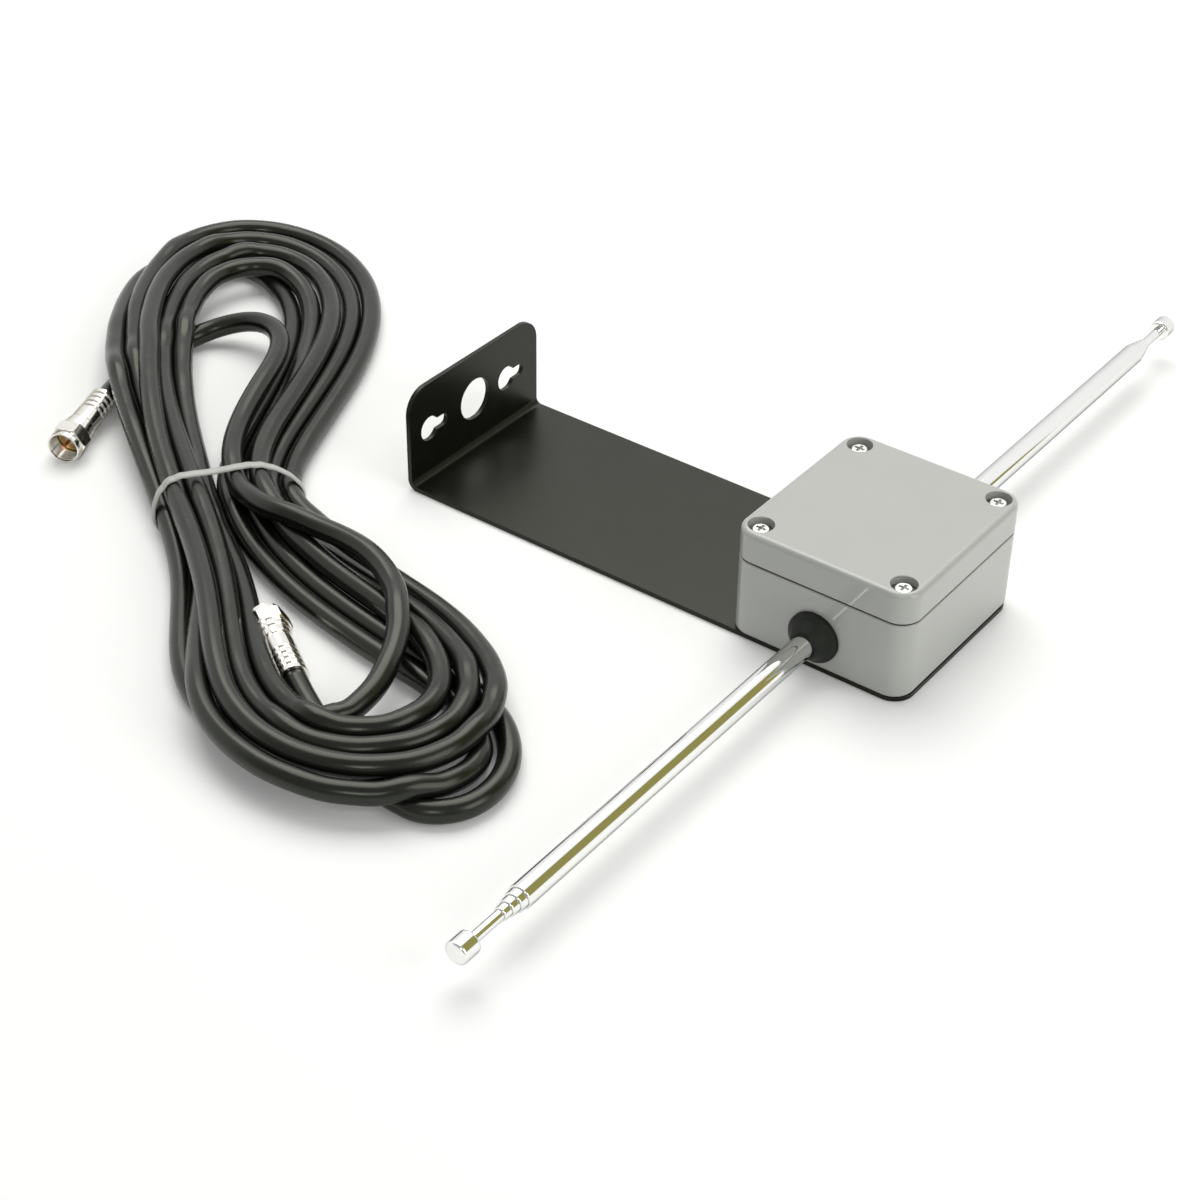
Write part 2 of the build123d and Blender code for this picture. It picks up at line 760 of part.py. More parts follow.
def main():
    os.makedirs("parts", exist_ok=True)
    pieces = {
        "wall_bracket": wall_bracket(),
        "box_base": box_base(),
        "box_lid": box_lid(),
        "lid_gasket": gasket_ring(0),
        "lid_screws": lid_screws(),
        "bracket_screws": bracket_screws(),
        "bracket_nuts": bracket_nuts(),
        "centre_block": centre_block(),
        "terminal_screws": terminal_screws(),
        "balun_board": balun_board(),
        "balun_core": balun_core(),
        "balun_winding": balun_winding(),
        "jack_body": jack_body(),
        "jack_insulator": jack_insulator(),
        "jack_contact": jack_contact(),
        "jack_washer": jack_washer(),
        "jack_nut": jack_nut(),
        "cable_hank": cable_hank(),
        "cable_tie": cable_tie(),
    }
    for side, name in ((-1, "near"), (1, "far")):
        pieces[name + "_grommet"] = rod_grommet(side)
        pieces[name + "_rod_end_plug"] = rod_end_plug(side)
        for stage in range(stage_count):
            pieces[f"{name}_rod_tube_{stage + 1}"] = rod_tube(side, stage)
        pieces[name + "_rod_tip"] = rod_tip(side)
        pieces[name + "_rod_cap"] = rod_cap(side)
    for points, name in ((tail_a_points, "a"), (tail_b_points, "b")):
        tail = cable_tail(points, cable_diameter / 2)
        straight = math.pi * (cable_diameter / 2) ** 2 * tail_path(points).length
        print("tail", name, "bend radii", [round(radius, 1) for radius in bend_radii(points)])
        print("tail", name, "volume", round(tail.volume, 1), "against section times length", round(straight, 1))
        pieces["cable_tail_" + name] = tail
        pieces["plug_sleeve_" + name] = plug_sleeve(points)
        pieces["plug_post_" + name] = plug_post(points)
        pieces["plug_insulator_" + name] = plug_insulator(points)
        pieces["plug_pin_" + name] = plug_pin(points)
        pieces["plug_nut_" + name] = plug_nut(points)
    for name, body in pieces.items():
        save(name, body)


main()
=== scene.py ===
import json
import math

import bpy
import numpy as np
from mathutils import Matrix, Vector


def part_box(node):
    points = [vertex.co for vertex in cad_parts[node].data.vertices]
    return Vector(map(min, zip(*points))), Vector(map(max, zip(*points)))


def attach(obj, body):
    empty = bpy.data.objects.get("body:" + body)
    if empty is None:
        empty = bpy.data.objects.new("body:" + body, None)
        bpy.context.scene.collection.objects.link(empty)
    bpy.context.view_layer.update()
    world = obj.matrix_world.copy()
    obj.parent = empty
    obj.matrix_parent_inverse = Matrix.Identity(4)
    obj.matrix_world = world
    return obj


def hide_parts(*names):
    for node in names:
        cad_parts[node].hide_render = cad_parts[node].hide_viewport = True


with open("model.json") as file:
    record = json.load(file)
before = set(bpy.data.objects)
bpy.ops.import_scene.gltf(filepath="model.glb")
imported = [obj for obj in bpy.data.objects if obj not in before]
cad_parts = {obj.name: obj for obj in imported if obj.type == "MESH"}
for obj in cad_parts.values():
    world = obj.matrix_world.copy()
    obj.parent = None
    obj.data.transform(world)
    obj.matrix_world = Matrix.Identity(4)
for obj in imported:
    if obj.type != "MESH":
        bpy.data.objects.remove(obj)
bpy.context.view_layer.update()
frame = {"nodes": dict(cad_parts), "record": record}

# The dressed FM indoor antenna: finishes for every part, the lead's hank laid turn by turn, its tie,
# the plugs' and socket's threads, and a white studio set. All sizes are in metres.

scene = bpy.context.scene
nodes = frame["nodes"]

# Camera, worked out from the photograph
CAMERA_PLACE = (0.3256, -0.4987, 0.4142)
CAMERA_RIGHT = Vector((0.8021, 0.5970, 0.0145))
CAMERA_UP = Vector((-0.3626, 0.4675, 0.8062))
CAMERA_BACK = Vector((0.4745, -0.6519, 0.5915))
SENSOR_WIDTH_MM = 36.0
LENS_MM = 71.85

# The coaxial lead
CORD_DIAMETER = 0.0068
CORD_RADIUS = CORD_DIAMETER / 2
CORD_IN_PLUG = 0.008
CORD_STEPS = 2
CORD_BEVEL_STEPS = 6
TAIL_A = [
    (-0.1917, -0.0666, 0.0056),
    (-0.1984, -0.0499, 0.0056),
    (-0.2026, -0.0325, 0.0042),
    (-0.2036, -0.0165, 0.0035),
]
TAIL_B = [
    (-0.0537, -0.1251, 0.0056),
    (-0.0383, -0.1345, 0.0056),
    (-0.0228, -0.1416, 0.0042),
    (-0.0075, -0.1460, 0.0035),
]

# From tail A: the arch in the upper loop, which stands clear of the floor
ARCH = [
    (-0.2018, -0.0070, 0.0041),
    (-0.1955, 0.0003, 0.0068),
    (-0.1866, 0.0038, 0.0102),
    (-0.1768, 0.0030, 0.0130),
    (-0.1684, -0.0018, 0.0143),
    (-0.1630, -0.0100, 0.0143),
    (-0.1588, -0.0205, 0.0136),
]
# The first turn: down the right side, over the waist, the inner turn of the lower loop, then
# under the bottom turns and up the left side to the waist
FIRST_TURN = [
    (-0.1528, -0.0345, 0.0125),
    (-0.1438, -0.0505, 0.0108),
    (-0.1320, -0.0645, 0.0100),
    (-0.1196, -0.0745, 0.0105),
    (-0.1050, -0.0775, 0.0130),
    (-0.0890, -0.0765, 0.0150),
    (-0.0720, -0.0775, 0.0150),
    (-0.0565, -0.0808, 0.0145),
    (-0.0430, -0.0876, 0.0130),
    (-0.0330, -0.0978, 0.0110),
    (-0.0265, -0.1110, 0.0098),
    (-0.0222, -0.1255, 0.0098),
    (-0.0195, -0.1405, 0.0112),
    (-0.0240, -0.1535, 0.0110),
    (-0.0385, -0.1595, 0.0070),
    (-0.0585, -0.1535, 0.0040),
    (-0.0795, -0.1340, 0.0035),
    (-0.0978, -0.1158, 0.0035),
    (-0.1126, -0.1042, 0.0035),
    (-0.1214, -0.0997, 0.0035),
]
# The other turns run in a band. Each station round the band gives its inner and outer middle line,
# where the five turns lie across it (0 inner, 1 outer) and the layers that they lie in.
STATIONS = [
    ((-0.1343, -0.0752), (-0.1416, -0.0867), (1.00, 0.50, 0.68, 0.22, 0.00), (1, 1, 2, 2, 1)),
    ((-0.1520, -0.0610), (-0.1580, -0.0770), (1.00, 0.60, 0.72, 0.28, 0.00), (1.4, 1.4, 2.4, 2.2, 1.4)),
    ((-0.1760, -0.0440), (-0.1830, -0.0590), (1.00, 0.72, 0.50, 0.27, 0.00), (1.9, 1.9, 2.8, 2.4, 1.9)),
    ((-0.1980, -0.0230), (-0.2070, -0.0390), (1.00, 0.75, 0.50, 0.25, 0.00), (2.1, 2.1, 3, 2.5, 2.1)),
    ((-0.2120, -0.0030), (-0.2300, -0.0140), (1.00, 0.72, 0.46, 0.22, 0.00), (1.9, 2, 2.7, 2.4, 2)),
    ((-0.2215, 0.0170), (-0.2500, 0.0130), (1.00, 0.72, 0.47, 0.24, 0.00), (1.4, 1.9, 2.3, 2.2, 1.9)),
    ((-0.2195, 0.0300), (-0.2535, 0.0390), (0.74, 0.90, 0.60, 0.33, 0.06), (1, 2, 2, 2, 2)),
    ((-0.2070, 0.0360), (-0.2380, 0.0640), (0.18, 1.00, 0.72, 0.44, 0.11), (1, 2, 2, 2, 2)),
    ((-0.1938, 0.0295), (-0.2075, 0.0680), (0.00, 1.00, 0.75, 0.48, 0.19), (1, 1.5, 2, 2, 1.5)),
    ((-0.1818, 0.0178), (-0.1780, 0.0540), (0.00, 1.00, 0.75, 0.50, 0.25), (1, 1, 1.5, 1.5, 1)),
    ((-0.1700, 0.0020), (-0.1550, 0.0260), (0.00, 1.00, 0.75, 0.50, 0.25), (1, 1, 1.2, 1.5, 1)),
    ((-0.1590, -0.0180), (-0.1415, -0.0060), (0.00, 1.00, 0.70, 0.50, 0.30), (1, 1, 1.4, 2, 1)),
    ((-0.1470, -0.0410), (-0.1285, -0.0325), (0.00, 1.00, 0.67, 0.50, 0.33), (1, 1, 1.2, 2, 1)),
    ((-0.1305, -0.0693), (-0.1212, -0.0548), (0.00, 1.00, 0.74, 0.52, 0.37), (1, 1, 1.4, 2, 1)),
    ((-0.1103, -0.0823), (-0.1005, -0.0670), (0.00, 1.00, 0.72, 0.52, 0.36), (1, 1, 1.3, 1.8, 1)),
    ((-0.0930, -0.0910), (-0.0845, -0.0700), (0.00, 1.00, 0.72, 0.50, 0.25), (1, 1, 1.2, 1.4, 1)),
    ((-0.0750, -0.0975), (-0.0700, -0.0745), (0.00, 1.00, 0.75, 0.50, 0.25), (1, 1, 1.3, 1, 1)),
    ((-0.0510, -0.1020), (-0.0490, -0.0785), (0.00, 1.00, 0.75, 0.50, 0.28), (1, 1, 1.3, 1, 1)),
    ((-0.0250, -0.1070), (-0.0210, -0.0860), (0.05, 0.95, 0.70, 0.42, 0.45), (1, 2, 2, 2, 1)),
    ((-0.0065, -0.1125), (0.0085, -0.0980), (0.35, 0.80, 0.45, 0.10, 0.85), (1, 2, 2, 2, 1)),
    ((-0.0010, -0.1240), (0.0285, -0.1250), (0.72, 0.52, 0.26, 0.00, 1.00), (1, 2, 2, 2, 1)),
    ((-0.0060, -0.1365), (0.0230, -0.1480), (0.78, 0.52, 0.26, 0.00, 1.00), (2, 2, 2, 2, 1)),
    ((-0.0180, -0.1435), (0.0010, -0.1620), (1.00, 0.64, 0.31, 0.00), (2, 2, 2.5, 3)),
    ((-0.0330, -0.1445), (-0.0290, -0.1668), (1.00, 0.66, 0.33, 0.00), (2, 2, 2.5, 3)),
    ((-0.0520, -0.1380), (-0.0548, -0.1572), (1.00, 0.66, 0.33, 0.00), (2, 2, 2, 2)),
    ((-0.0700, -0.1225), (-0.0795, -0.1405), (0.84, 0.58, 0.29, 0.00), (2, 2, 2, 1.5)),
    ((-0.0910, -0.1030), (-0.0990, -0.1200), (0.70, 0.58, 0.28, 0.00), (1.5, 2, 2, 1)),
    ((-0.1141, -0.0882), (-0.1214, -0.0997), (0.50, 0.68, 0.22, 0.00), (1, 2, 2, 1)),
]
TURN_COUNT = 5
LAST_TURN_STATIONS = 22
# The last turn's way back from the right end towards tail B
LAST_BEND = [(0.0085, -0.1545, 0.0035)]

# How the turns settle. Strides count points along the cord, and a share is how much of a move is made
# in one round.
POINT_SPACING = 0.0045
SETTLE_ROUNDS = 500
LATE_ROUND = 400
SINK = 0.00003
PULL_SHARE = 0.04
LATE_PULL_SHARE = 0.01
STIFF_STRIDES_AND_SHARES = ((1, 0.25), (3, 0.12))
LEVEL_STRIDE = 7
LEVEL_SHARE = 0.15
BEND_STRIDES = (2, 3)
BEND_SHARE = 0.4
BEND_AIM = 3.3 * CORD_DIAMETER
CONTACT = 1.02 * CORD_DIAMETER
CONTACT_SHARE = 0.25
SEARCH = 1.6 * CORD_DIAMETER
SEARCH_EVERY = 12
OWN_RUN = 2.2 * CORD_DIAMETER
HELD_ABOVE = 0.3
CLIMB = np.array((0.2, 0.2, 2.0))
NOT_ZERO = 1e-9

# The tie round the hank's waist
TIE_PLACE = np.array((-0.1215, -0.0775))
TIE_ACROSS = np.array((0.540, 0.842))
TIE_ALONG = np.array((0.842, -0.540))
TIE_HALF_SPAN = 0.0226
TIE_TOP = 0.0134
TIE_LEAN = 0.6
TIE_LEAN_BASE = 0.005
TIE_REACH = 0.050
TIE_WIDTH = 0.0027
TIE_THICKNESS = 0.0010
TIE_ROUNDNESS = 0.6
TIE_DIP = 0.0012
TIE_DIP_SPREAD = 0.0055
TIE_STIFF_ROUNDS = 60
TIE_STIFF_STRIDE = 6
TIE_STIFF_SHARE = 0.3
TIE_SMOOTH_SHARE = 0.1
TIE_HULL_STEPS = 48
TIE_STEPS = 180
TIE_PROFILE_STEPS = 16
# Its hold on the turns fades over one fade length, and is gone at so many fade lengths from its plane
TIE_FADE = 0.0060
TIE_FADES = 1.6
TIE_SQUEEZE_SHARE = 0.5
TIE_CLEARANCE = 1.2

# The gasket's black rubber edge, brought out into the seam under the lid: real rubber, and painted shade
# that draws the seam's dark line
SEAM_INSET = 0.00034
SEAM_EDGE_RADIUS = 0.00022
SEAM_CORNER_RADIUS = 0.0065
SEAM_CORNER_STEPS = 10
SEAM_PROFILE_STEPS = 8

# Plug and socket threads
THREAD_PITCH = 0.0008
THREAD_HALF_WIDTH = 0.45
THREAD_STEPS = 32
NUT_THREAD_RADIUS = 0.0048
NUT_THREAD_CREST = 0.0045
NUT_THREAD_START = 0.0243
NUT_THREAD_END = 0.0296
SOCKET_THREAD_RADIUS = 0.0047
SOCKET_THREAD_CREST = 0.00495
SOCKET_THREAD_LENGTH = 0.0048

# What each plug is made of
PLUG_PIECES = ("sleeve", "post", "insulator", "pin", "nut", "thread")


def add_camera():
    """The camera at the photograph's place and angle."""
    data = bpy.data.cameras.new("camera")
    data.sensor_width = SENSOR_WIDTH_MM
    data.lens = LENS_MM
    camera = bpy.data.objects.new("camera", data)
    scene.collection.objects.link(camera)
    turn = Matrix((CAMERA_RIGHT, CAMERA_UP, CAMERA_BACK)).transposed()
    camera.matrix_world = Matrix.Translation(CAMERA_PLACE) @ turn.to_4x4()
    scene.camera = camera


def nurbs_curve(name, points):
    """One open NURBS spline with these control points."""
    data = bpy.data.curves.new(name, "CURVE")
    data.dimensions = "3D"
    spline = data.splines.new("NURBS")
    spline.points.add(len(points) - 1)
    for place, point in zip(spline.points, points):
        place.co = (point[0], point[1], point[2], 1.0)
        place.radius = CORD_RADIUS
    spline.order_u = 3
    spline.use_endpoint_u = True
    curve = bpy.data.objects.new(name, data)
    scene.collection.objects.link(curve)
    return curve


def along_route(points):
    """Evenly spaced points read from the NURBS line of a route."""
    guide = nurbs_curve("route_guide", points)
    line = bpy.data.meshes.new_from_object(guide)
    places = np.array([vertex.co for vertex in line.vertices])
    curve_data = guide.data
    bpy.data.objects.remove(guide)
    bpy.data.curves.remove(curve_data)
    bpy.data.meshes.remove(line)
    run = np.concatenate(([0.0], np.cumsum(np.linalg.norm(np.diff(places, axis=0), axis=1))))
    marks = np.linspace(0.0, run[-1], int(round(run[-1] / POINT_SPACING)) + 1)
    return np.stack([np.interp(marks, run, places[:, axis]) for axis in range(3)], axis=1)


def turn_points(turn):
    """One turn of the hank, station by station."""
    last = LAST_TURN_STATIONS if turn == TURN_COUNT - 1 else len(STATIONS)
    points = []
    for inner, outer, lanes, layers in STATIONS[:last]:
        place = Vector(inner).lerp(Vector(outer), lanes[turn])
        height = CORD_RADIUS + (layers[turn] - 1) * CORD_DIAMETER
        points.append((place.x, place.y, height))
    return points


def straighten(points, stride, share):
    """The cord's stiffness: moves each point towards the smooth line of its neighbours."""
    near = points[stride:-3 * stride] + points[3 * stride:-stride]
    far = points[:-4 * stride] + points[4 * stride:]
    smooth = (4 * near - far) / 6
    points[2 * stride:-2 * stride] += share * (smooth - points[2 * stride:-2 * stride])


def open_bends(points, stride):
    """Opens the bends that are tighter than the aim."""
    deepest = (stride * POINT_SPACING) ** 2 / (2 * BEND_AIM)
    sag = (points[:-2 * stride] + points[2 * stride:]) / 2 - points[stride:-stride]
    depth = np.linalg.norm(sag, axis=1)
    excess = np.clip(1.0 - deepest / np.maximum(depth, NOT_ZERO), 0.0, None)
    move = BEND_SHARE * excess[:, None] * sag
    points[stride:-stride] += move
    points[:-2 * stride] -= move / 2
    points[2 * stride:] -= move / 2


def touching_pairs(points):
    """Pairs of points close to each other that aren't on the same short run of the cord."""
    distance = np.linalg.norm(points[:, None, :] - points[None, :, :], axis=2)
    first, second = np.nonzero(distance < SEARCH)
    apart = second - first > math.ceil(OWN_RUN / POINT_SPACING)
    return first[apart], second[apart]


def push_apart(points, pairs, held):
    """Keeps the turns from lying in each other. They climb over held runs without stepping aside."""
    first, second = pairs
    between = points[first] - points[second]
    distance = np.linalg.norm(between, axis=1)
    short = np.clip(CONTACT - distance, 0.0, None)
    move = CONTACT_SHARE * (short / np.maximum(distance, NOT_ZERO))[:, None] * between
    move[held[first] | held[second]] *= CLIMB
    np.add.at(points, first, move)
    np.add.at(points, second, -move)


def from_tie(points):
    """How far points are from the tie's middle, across the hank and out of the tie's leaning plane."""
    offset = points[:, :2] - TIE_PLACE
    return offset @ TIE_ACROSS, offset @ TIE_ALONG + TIE_LEAN * (points[:, 2] - TIE_LEAN_BASE)


def squeeze_waist(points):
    """The tie holds the turns together where it goes round them. Returns the lowest height of each point."""
    across, along = from_tie(points)
    grip = np.clip(TIE_FADES - np.abs(along) / TIE_FADE, 0.0, 1.0) * (np.abs(across) < TIE_REACH)
    outside = np.clip(np.abs(across) - (TIE_HALF_SPAN - CORD_RADIUS), 0.0, None)
    above = np.clip(points[:, 2] - (TIE_TOP - CORD_RADIUS), 0.0, None)
    points[:, :2] -= (TIE_SQUEEZE_SHARE * grip * outside * np.sign(across))[:, None] * TIE_ACROSS
    points[:, 2] -= TIE_SQUEEZE_SHARE * grip * above
    return CORD_RADIUS + grip * TIE_CLEARANCE * TIE_THICKNESS


def settle(points, firmness):
    """Lets the turns sink onto the floor and each other, close to where they were drawn."""
    drawn = points.copy()
    held = firmness > HELD_ABOVE
    for step in range(SETTLE_ROUNDS):
        if step % SEARCH_EVERY == 0:
            pairs = touching_pairs(points)
        pull = PULL_SHARE if step < LATE_ROUND else LATE_PULL_SHARE
        points[:, 2] -= SINK
        points[:, :2] += pull * (drawn[:, :2] - points[:, :2])
        for stride, share in STIFF_STRIDES_AND_SHARES:
            straighten(points, stride, share)
        straighten(points[:, 2:], LEVEL_STRIDE, LEVEL_SHARE)
        for stride in BEND_STRIDES:
            open_bends(points, stride)
        push_apart(points, pairs, held)
        lowest = squeeze_waist(points)
        points[:, 2] = np.maximum(points[:, 2], lowest)
        points += firmness[:, None] * (drawn - points)
    return points


def lay_cord():
    """The lead from plug A to plug B: tail A, the settled turns of the hank, tail B."""
    start = TAIL_A + ARCH
    turns = list(FIRST_TURN)
    for turn in range(TURN_COUNT):
        turns += turn_points(turn)
    turns += LAST_BEND
    end = list(reversed(TAIL_B))
    points = along_route(start + turns + end)
    count = len(points)
    tail_a_count = len(along_route(TAIL_A))
    start_count = len(along_route(start))
    tail_b_count = len(along_route(end))
    firmness = np.zeros(count)
    firmness[:tail_a_count] = 1.0
    firmness[tail_a_count:start_count] = np.linspace(1.0, 0.0, start_count - tail_a_count) ** 2
    firmness[count - tail_b_count:] = 1.0
    settled = settle(points, firmness)
    coil = [tuple(point) for point in settled[tail_a_count:count - tail_b_count]]
    cord = nurbs_curve("lead", TAIL_A + coil + end)
    # The bevel is one metre times the radius of each point
    cord.data.bevel_depth = 1.0
    cord.data.bevel_resolution = CORD_BEVEL_STEPS
    cord.data.use_fill_caps = True
    cord.data.splines[0].resolution_u = CORD_STEPS
    cord.data.splines[0].use_smooth = True
    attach(cord, "root")
    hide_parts("cable_hank", "cable_tail_a", "cable_tail_b")
    return cord, settled


add_camera()
cord, cord_line = lay_cord()


# The tie, the threads and the gasket's edge, whose black rubber paints the seam's shade

def add_mesh(name, corners, faces, body):
    """A smooth new piece that rides on a body."""
    mesh = bpy.data.meshes.new(name)
    mesh.from_pydata(corners, [], faces)
    mesh.shade_smooth()
    piece = bpy.data.objects.new(name, mesh)
    scene.collection.objects.link(piece)
    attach(piece, body)
    return piece


def ring_faces(rings, profile, closed):
    """Quads between neighbouring rings of a swept profile."""
    faces = []
    for ring in range(rings if closed else rings - 1):
        following = (ring + 1) % rings
        for step in range(profile):
            beside = (step + 1) % profile
            faces.append((
                ring * profile + step, ring * profile + beside,
                following * profile + beside, following * profile + step,
            ))
    return faces


def strands_at_tie(line):
    """Where the cord's middle line goes through the tie's plane, as (across, height)."""
    across, along = from_tie(line)
    crossings = []
    for index in np.nonzero(along[:-1] * along[1:] <= 0.0)[0]:
        share = along[index] / (along[index] - along[index + 1])
        place = across[index] + share * (across[index + 1] - across[index])
        height = line[index, 2] + share * (line[index + 1, 2] - line[index, 2])
        if abs(place) < TIE_REACH:
            crossings.append((place, height))
    return sorted(crossings)


def hull_round(strands, radius):
    """The tight loop round circles of this radius, counter-clockwise."""
    angles = np.linspace(0.0, 2.0 * math.pi, TIE_HULL_STEPS, endpoint=False)
    points = sorted(
        (across + radius * math.cos(angle), height + radius * math.sin(angle))
        for across, height in strands
        for angle in angles
    )

    def side(places):
        chain = []
        for place in places:
            while len(chain) > 1:
                first = np.subtract(chain[-1], chain[-2])
                second = np.subtract(place, chain[-1])
                if first[0] * second[1] - first[1] * second[0] > 0.0:
                    break
                chain.pop()
            chain.append(place)
        return chain[:-1]

    return side(points) + side(points[::-1])


def even_loop(points, count):
    """Evenly spaced points along a closed loop."""
    loop = np.array(points + points[:1])
    run = np.concatenate(([0.0], np.cumsum(np.linalg.norm(np.diff(loop, axis=0), axis=1))))
    marks = np.linspace(0.0, run[-1], count, endpoint=False)
    return np.stack([np.interp(marks, run, loop[:, axis]) for axis in range(2)], axis=1)


def stiffen_band(loop, strands):
    """Rounds a closed band as its stiffness would, without letting it into the strands."""
    stride = TIE_STIFF_STRIDE
    for _ in range(TIE_STIFF_ROUNDS):
        near = np.roll(loop, stride, axis=0) + np.roll(loop, -stride, axis=0)
        far = np.roll(loop, 2 * stride, axis=0) + np.roll(loop, -2 * stride, axis=0)
        loop = loop + TIE_STIFF_SHARE * ((4 * near - far) / 6 - loop)
        beside = np.roll(loop, 1, axis=0) + np.roll(loop, -1, axis=0)
        loop = (1 - 2 * TIE_SMOOTH_SHARE) * loop + TIE_SMOOTH_SHARE * beside
        for strand in strands:
            out = loop - strand
            distance = np.linalg.norm(out, axis=1)
            short = np.clip(CORD_RADIUS + TIE_THICKNESS / 2 - distance, 0.0, None)
            loop = loop + (short / distance)[:, None] * out
        loop[:, 1] = np.maximum(loop[:, 1], TIE_THICKNESS / 2)
    return loop


def add_tie(line):
    """The band round the waist, tight on the strands, with a dip between the two bundles."""
    strands = strands_at_tie(line)
    gaps = [after[0] - before[0] for before, after in zip(strands, strands[1:])]
    widest = int(np.argmax(gaps))
    middle = (strands[widest][0] + strands[widest + 1][0]) / 2
    loop = even_loop(hull_round(strands, CORD_RADIUS + TIE_THICKNESS / 2), TIE_STEPS)
    top = loop[:, 1] > 2 * CORD_RADIUS
    loop[top, 1] -= TIE_DIP * np.exp(-(((loop[top, 0] - middle) / TIE_DIP_SPREAD) ** 2))
    loop = stiffen_band(loop, strands)
    tangent = np.roll(loop, -1, axis=0) - np.roll(loop, 1, axis=0)
    tangent /= np.linalg.norm(tangent, axis=1)[:, None]
    corners = []
    for (across, height), (run_across, run_height) in zip(loop, tangent):
        for step in range(TIE_PROFILE_STEPS):
            angle = 2.0 * math.pi * step / TIE_PROFILE_STEPS
            out = TIE_THICKNESS / 2 * math.sin(angle)
            flank = math.copysign(abs(math.cos(angle)) ** TIE_ROUNDNESS, math.cos(angle))
            aside = TIE_WIDTH / 2 * flank
            rise = height - out * run_across
            aside -= TIE_LEAN * (rise - TIE_LEAN_BASE)
            place = TIE_PLACE + (across + out * run_height) * TIE_ACROSS + aside * TIE_ALONG
            corners.append((place[0], place[1], rise))
    faces = ring_faces(TIE_STEPS, TIE_PROFILE_STEPS, closed=True)
    tie = add_mesh("lead_tie", corners, faces, "root")
    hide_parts("cable_tie")
    return tie


def add_thread(name, body, start, heading, base, crest, low, high):
    """A helical ridge between two heights along an axis, from its base radius to its crest."""
    turn = Vector((0.0, 0.0, 1.0)).rotation_difference(heading)
    steps = int((high - low) / THREAD_PITCH * THREAD_STEPS)
    profile = ((base, -THREAD_HALF_WIDTH), (crest, 0.0), (base, THREAD_HALF_WIDTH))
    corners = []
    for step in range(steps + 1):
        angle = 2.0 * math.pi * step / THREAD_STEPS
        height = low + THREAD_PITCH * step / THREAD_STEPS
        for radius, shift in profile:
            rise = height + shift * THREAD_PITCH
            place = Vector((radius * math.cos(angle), radius * math.sin(angle), rise))
            corners.append(start + turn @ place)
    faces = ring_faces(steps + 1, len(profile), closed=False)
    return add_mesh(name, corners, faces, body)


def add_threads():
    """The threads in both plug nuts and on the socket."""
    threads = []
    for name, tail in (("a", TAIL_A), ("b", TAIL_B)):
        heading = (Vector(tail[0]) - Vector(tail[1])).normalized()
        start = Vector(tail[0]) - heading * CORD_IN_PLUG
        threads.append(add_thread(
            "plug_thread_" + name, "plug_nut_" + name, start, heading,
            NUT_THREAD_RADIUS, NUT_THREAD_CREST, NUT_THREAD_START, NUT_THREAD_END,
        ))
    low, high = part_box("jack_body")
    socket = Vector((low[0], (low[1] + high[1]) / 2, (low[2] + high[2]) / 2))
    threads.append(add_thread(
        "socket_thread", "root", socket, Vector((1.0, 0.0, 0.0)),
        SOCKET_THREAD_RADIUS, SOCKET_THREAD_CREST, THREAD_PITCH / 2, SOCKET_THREAD_LENGTH,
    ))
    return threads


def add_seam_shade_bead():
    """The black edge of the lid's gasket, just visible in the seam between lid and base: real rubber, set
    out into the seam so that it paints the seam's shade as a dark line.
    """
    low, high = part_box("box_base")
    radius = SEAM_CORNER_RADIUS - SEAM_INSET
    middles = [
        (high[0] - SEAM_CORNER_RADIUS, high[1] - SEAM_CORNER_RADIUS),
        (low[0] + SEAM_CORNER_RADIUS, high[1] - SEAM_CORNER_RADIUS),
        (low[0] + SEAM_CORNER_RADIUS, low[1] + SEAM_CORNER_RADIUS),
        (high[0] - SEAM_CORNER_RADIUS, low[1] + SEAM_CORNER_RADIUS),
    ]
    corners = []
    for corner, (x, y) in enumerate(middles):
        for step in range(SEAM_CORNER_STEPS + 1):
            angle = math.pi / 2 * (corner + step / SEAM_CORNER_STEPS)
            for around in range(SEAM_PROFILE_STEPS):
                turn = 2.0 * math.pi * around / SEAM_PROFILE_STEPS
                reach = radius + SEAM_EDGE_RADIUS * math.cos(turn)
                height = high[2] + SEAM_EDGE_RADIUS * math.sin(turn)
                corners.append((x + reach * math.cos(angle), y + reach * math.sin(angle), height))
    faces = ring_faces(len(middles) * (SEAM_CORNER_STEPS + 1), SEAM_PROFILE_STEPS, closed=True)
    return add_mesh("gasket_edge_seam_shade", corners, faces, "root")


tie = add_tie(cord_line)
threads = add_threads()
# Painted shade: the gasket's black edge draws the dark line of the lid seam
seam_shade_bead = add_seam_shade_bead()

# The lead, with everything that is on it
cord_pieces = ["lead_tie"]
for piece in PLUG_PIECES:
    cord_pieces += ["plug_" + piece + "_a", "plug_" + piece + "_b"]


# Finishes

NOISE_DETAIL = 4.0
NOISE_LOW = 0.3
NOISE_HIGH = 0.7
DRIFT = 12.0
BEVEL_SAMPLES = 4
ROD_GRAIN = (1.0, 0.02, 1.0)


def node_tree(name):
    """A new material, its node tree and its Principled shader."""
    material = bpy.data.materials.new(name)
    material.use_nodes = True
    tree = material.node_tree
    return material, tree, tree.nodes["Principled BSDF"]


def noise(tree, scale, stretch):
    """Noise in the part's own space, finer with a larger scale."""
    place = tree.nodes.new("ShaderNodeTexCoord")
    mapping = tree.nodes.new("ShaderNodeMapping")
    mapping.inputs["Scale"].default_value = stretch
    pattern = tree.nodes.new("ShaderNodeTexNoise")
    pattern.inputs["Scale"].default_value = scale
    pattern.inputs["Detail"].default_value = NOISE_DETAIL
    tree.links.new(place.outputs["Object"], mapping.inputs["Vector"])
    tree.links.new(mapping.outputs["Vector"], pattern.inputs["Vector"])
    return pattern.outputs["Fac"]


